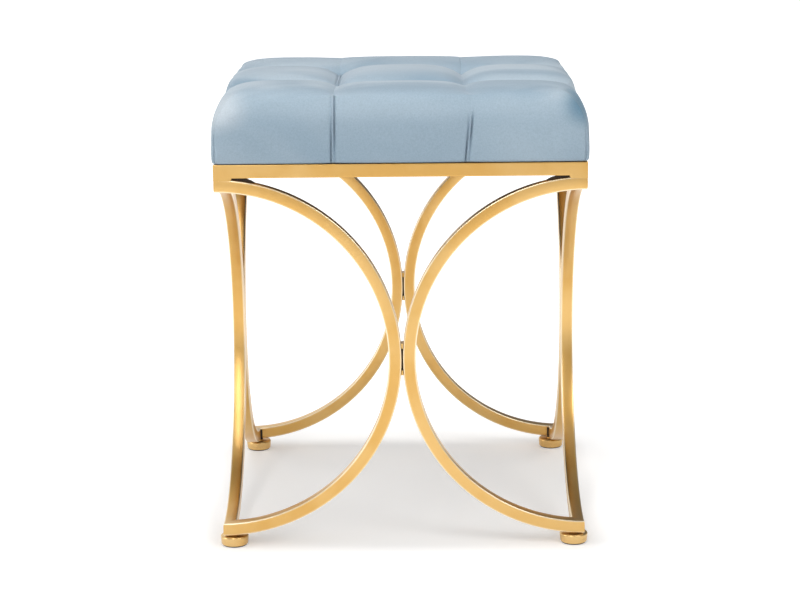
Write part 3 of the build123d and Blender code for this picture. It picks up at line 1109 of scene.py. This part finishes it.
# %% Round the cushion off
rounding = cushion.modifiers.new("subdivision", "SUBSURF")
rounding.levels = 1
rounding.render_levels = 1
print("cushion subdivided once")

# %% [markdown]
# ## Covered buttons
# A button sits at the bottom of each tuft, where the two valleys cross. It is a shallow dome covered
# in the same velvet, so it is turned from an arc and gets a velvet with finer strokes.

# %% Buttons
DOME = 3.5 * MM
BUTTON_ROUND = 1.8 * MM
button_flat = BUTTON_RADIUS * 0.8
profile = [(AXIS_GAP, button_low.z), (button_flat, button_low.z)]
profile += arc_points((button_flat, button_low.z + BUTTON_ROUND), BUTTON_ROUND, -90, 60)
dome_radius, dome_height = profile[-1]
for angle in np.linspace(0.15, 1, 7) * math.pi / 2:
    profile.append((dome_radius * math.cos(angle) + AXIS_GAP, dome_height + DOME * math.sin(angle)))
for count, (sign_x, sign_y) in enumerate(corner_signs.values()):
    axis = Vector((sign_x * tuft_at, sign_y * tuft_at, 0))
    button = place_turned(f"button_{count}", profile, axis, button_velvet, "frame", 32)
    if count == 0:
        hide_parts("tuft_buttons")
print("buttons: 4")

# %% [markdown]
# ## Under the seat
# A black dust cover closes the seat from below. It is stapled along its edges, which lie flat on the
# rails, and sags a little in the middle.

# %% Dust cover
SAG = 2.5 * MM
STAPLED = 0.9
DUST_LIFT = 0.2 * MM
DUST_COUNT = 31
dust_low, dust_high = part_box("dust_cover")


def dust_points(count):
    """A square sheet, flat outside the share that is stapled and sagging inside it."""
    points = []
    for u in np.linspace(-1, 1, count):
        for v in np.linspace(-1, 1, count):
            sag = 0.0
            if max(abs(u), abs(v)) < STAPLED:
                sag = SAG * (1 - (u / STAPLED) ** 2) * (1 - (v / STAPLED) ** 2)
            points.append((dust_high.x * u, dust_high.y * v, dust_low.z + DUST_LIFT - sag))
    return points


dust_faces = skin_faces(DUST_COUNT, DUST_COUNT, False)
dust_sheet = place_piece(
    "dust_sheet", dust_points(DUST_COUNT), dust_faces, dust_cloth, "frame"
)
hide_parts("dust_cover")
print("dust cover", round(dust_high.x - dust_low.x, 3), "m wide")

# %% [markdown]
# A washer and a pan-head screw hold the seat to the plate in each corner. Both are turned, head
# down, from the plate's lower face, and the head has a round drive recess.

# %% Screws and washers
SCREW_INSET = 18 * MM
WASHER_BORE = 3.2 * MM
WASHER_RADIUS = 7 * MM
WASHER_THICK = 1.2 * MM
WASHER_BEVEL = 0.4 * MM
HEAD_RADIUS = 5.5 * MM
HEAD_ROUND = 2.9 * MM
HEAD_SIDE = 1.0 * MM
DRIVE_FLOOR = (1.9 * MM, -3.2 * MM)
DRIVE_MOUTH = (2.2 * MM, -4.9 * MM)
gusset_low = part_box("gusset_front_left")[0]
screw_at = half_frame - tube - SCREW_INSET
washer_profile = [
    (WASHER_BORE, 0),
    (WASHER_BORE, -WASHER_THICK),
    (WASHER_RADIUS - WASHER_BEVEL, -WASHER_THICK),
    (WASHER_RADIUS, WASHER_BEVEL - WASHER_THICK),
    (WASHER_RADIUS, 0),
]
head_profile = [(AXIS_GAP, DRIVE_FLOOR[1]), DRIVE_FLOOR, DRIVE_MOUTH]
head_profile += arc_points((HEAD_RADIUS - HEAD_ROUND, -WASHER_THICK - HEAD_SIDE), HEAD_ROUND, -90, 0)
head_profile += [(HEAD_RADIUS, -WASHER_THICK), (AXIS_GAP, -WASHER_THICK)]
for corner, (sign_x, sign_y) in corner_signs.items():
    axis = Vector((sign_x * screw_at, sign_y * screw_at, gusset_low.z))
    place_turned(f"washer_{corner}", washer_profile, axis, zinc, "frame")
    place_turned(f"screw_{corner}", head_profile, axis, zinc, "frame", 36)
print("screws at", round(screw_at, 4))

# %% [markdown]
# ## Finishes for the CAD parts that stay
# Welds, corner plates, nuts, studs and the board keep their CAD shapes and only change their finish.
# The parts that a new piece stands in for get that piece's kind of finish.

# %% Finishes of the CAD parts
# The first entry whose start fits a part's name gives its finish; the seat's own parts are velvet
FINISHES = (
    (("bow_", "rail_", "gusset_", "spot_welds"), gold),
    ("foot_stud", thread_steel),
    ("foot_pad", gold_foot),
    # painted shade: the nuts sit in the dark gap between the bows' ends
    ("foot_nuts", gap_shade),
    ("dust_cover", dust_cloth),
    ("seat_board", plywood),
    ("", velvet),
)
for name, part in nodes.items():
    finish = next(material for starts, material in FINISHES if name.startswith(starts))
    part.data.materials.clear()
    part.data.materials.append(finish)
print("finished CAD parts:", len(nodes))

# %% [markdown]
# ## Studio
# The floor is a white sweep. It takes the ottoman's shadow and looks white to the camera because it
# glows for camera rays, and a little for the rays that metal sends on, so the tubes mirror a pale
# floor. Over a square the size of the seat, right under the ottoman, both glows are weaker: a
# painted shadow that adds to the depth of the real one.

# %% Floor
FLOOR_SIZE = 40.0
FLOOR_DROP = -0.0002
# painted shadow: the glow level right under the seat
SHADOW_GLOW = 0.30
FAR_GLOW = 0.53
PICTURE_GLOW = 0.78
GLOW_START, GLOW_END = 0.19, 0.45


def ray_kinds(tree):
    """The kinds of ray, and a mask of those that metal or a clear coat sends on."""
    path = add_node(tree, "ShaderNodeLightPath").outputs
    return path, calculate(tree, "MAXIMUM", path["Is Glossy Ray"], path["Is Transmission Ray"])


floor_mesh = bpy.data.meshes.new("floor")
floor_corners = [
    (x * FLOOR_SIZE, y * FLOOR_SIZE, FLOOR_DROP) for x, y in ((-1, -1), (1, -1), (1, 1), (-1, 1))
]
floor_mesh.from_pydata(floor_corners, [], [(0, 1, 2, 3)])
floor = bpy.data.objects.new("floor", floor_mesh)
scene.collection.objects.link(floor)
floor_material, tree, shader = new_material("white sweep", {
    "Base Color": (0.8, 0.8, 0.8, 1), "Roughness": 0.9, "Specular IOR Level": 0.0,
})
path, mirrored = ray_kinds(tree)
size = vector_step(tree, "ABSOLUTE", object_place(tree))
axes = add_node(tree, "ShaderNodeSeparateXYZ", {"Vector": size}).outputs
away = calculate(tree, "MAXIMUM", axes["X"], axes["Y"])
glows = []
# painted shadow: both glows rise from the low level under the seat to their far levels outside it
for ray, far in ((mirrored, FAR_GLOW), (path["Is Camera Ray"], PICTURE_GLOW)):
    level = spread(tree, away, SHADOW_GLOW, far, GLOW_START, GLOW_END)
    glows.append(calculate(tree, "MULTIPLY", ray, level))
glow = add_node(tree, "ShaderNodeEmission", {
    "Color": (1, 1, 1, 1), "Strength": calculate(tree, "MAXIMUM", *glows),
})
both = add_node(tree, "ShaderNodeAddShader", {0: shader.outputs["BSDF"], 1: glow.outputs["Emission"]})
tree.links.new(both.outputs[0], tree.nodes["Material Output"].inputs["Surface"])
floor_mesh.materials.append(floor_material)
print("floor", FLOOR_SIZE, "m")

# %% [markdown]
# The sky is a soft grey, brighter towards the left and the front, as in a studio with white walls
# there. The camera sees it white, and the metal also mirrors a white sheet that hangs behind the
# ottoman, to its left.

# %% World
SKY_LEVEL = 0.47
SKY_LEAST = 0.08
SKY_SLOPE = (-0.18, -0.22, -0.08)
world = bpy.data.worlds.new("studio")
world.use_nodes = True
scene.world = world
tree = world.node_tree
sky = add_node(tree, "ShaderNodeTexCoord").outputs["Generated"]
slope = vector_step(tree, "DOT_PRODUCT", sky, SKY_SLOPE, result="Value")
amount = calculate(tree, "MAXIMUM", calculate(tree, "ADD", slope, SKY_LEVEL), SKY_LEAST)
path, mirrored = ray_kinds(tree)
axes = add_node(tree, "ShaderNodeSeparateXYZ", {"Vector": sky}).outputs
behind = spread(tree, axes["Y"], 0.0, 1.0, 0.0, 0.6)
left = spread(tree, axes["X"], 0.0, 1.0, 0.12, -0.12)
sheet = calculate(tree, "MULTIPLY", calculate(tree, "MULTIPLY", behind, left), mirrored)
sheet = calculate(tree, "MAXIMUM", sheet, path["Is Camera Ray"])
background = tree.nodes["Background"]
background.inputs["Color"].default_value = (1, 1, 1, 1)
tree.links.new(calculate(tree, "MAXIMUM", amount, sheet), background.inputs["Strength"])
print("sky level", SKY_LEVEL)

# %% [markdown]
# Four soft lamps do the rest: a small one high overhead draws the shadow straight under the
# ottoman, a box at the left and a weaker one at the front right fill the sides, and a long strip in
# front, left of the middle, gives the tubes their bright lines.

# %% Lamps
def add_lamp(name, place, aim, size, power):
    """A soft lamp of (width, height) at a place, turned to a point and left out of the picture."""
    data = bpy.data.lights.new(name, "AREA")
    data.shape = "RECTANGLE"
    data.size, data.size_y = size
    data.energy = power
    lamp = bpy.data.objects.new(name, data)
    lamp.location = place
    lamp.rotation_euler = (Vector(aim) - Vector(place)).to_track_quat("-Z", "Y").to_euler()
    lamp.visible_camera = False
    scene.collection.objects.link(lamp)


seat_middle = (0, 0, (hem + crown) / 2)
add_lamp("overhead", (0.0, 0.0, 7.0), seat_middle, (0.55, 0.55), 140)
add_lamp("left box", (-3.0, -0.5, 1.3), seat_middle, (1.6, 1.6), 23)
add_lamp("front box", (1.3, -1.5, 1.6), seat_middle, (1.0, 1.0), 13)
add_lamp("strip", (-0.40, -1.35, 1.9), (-0.40, 0, 1.43), (0.22, 2.75), 11)
print("lamps: 4")
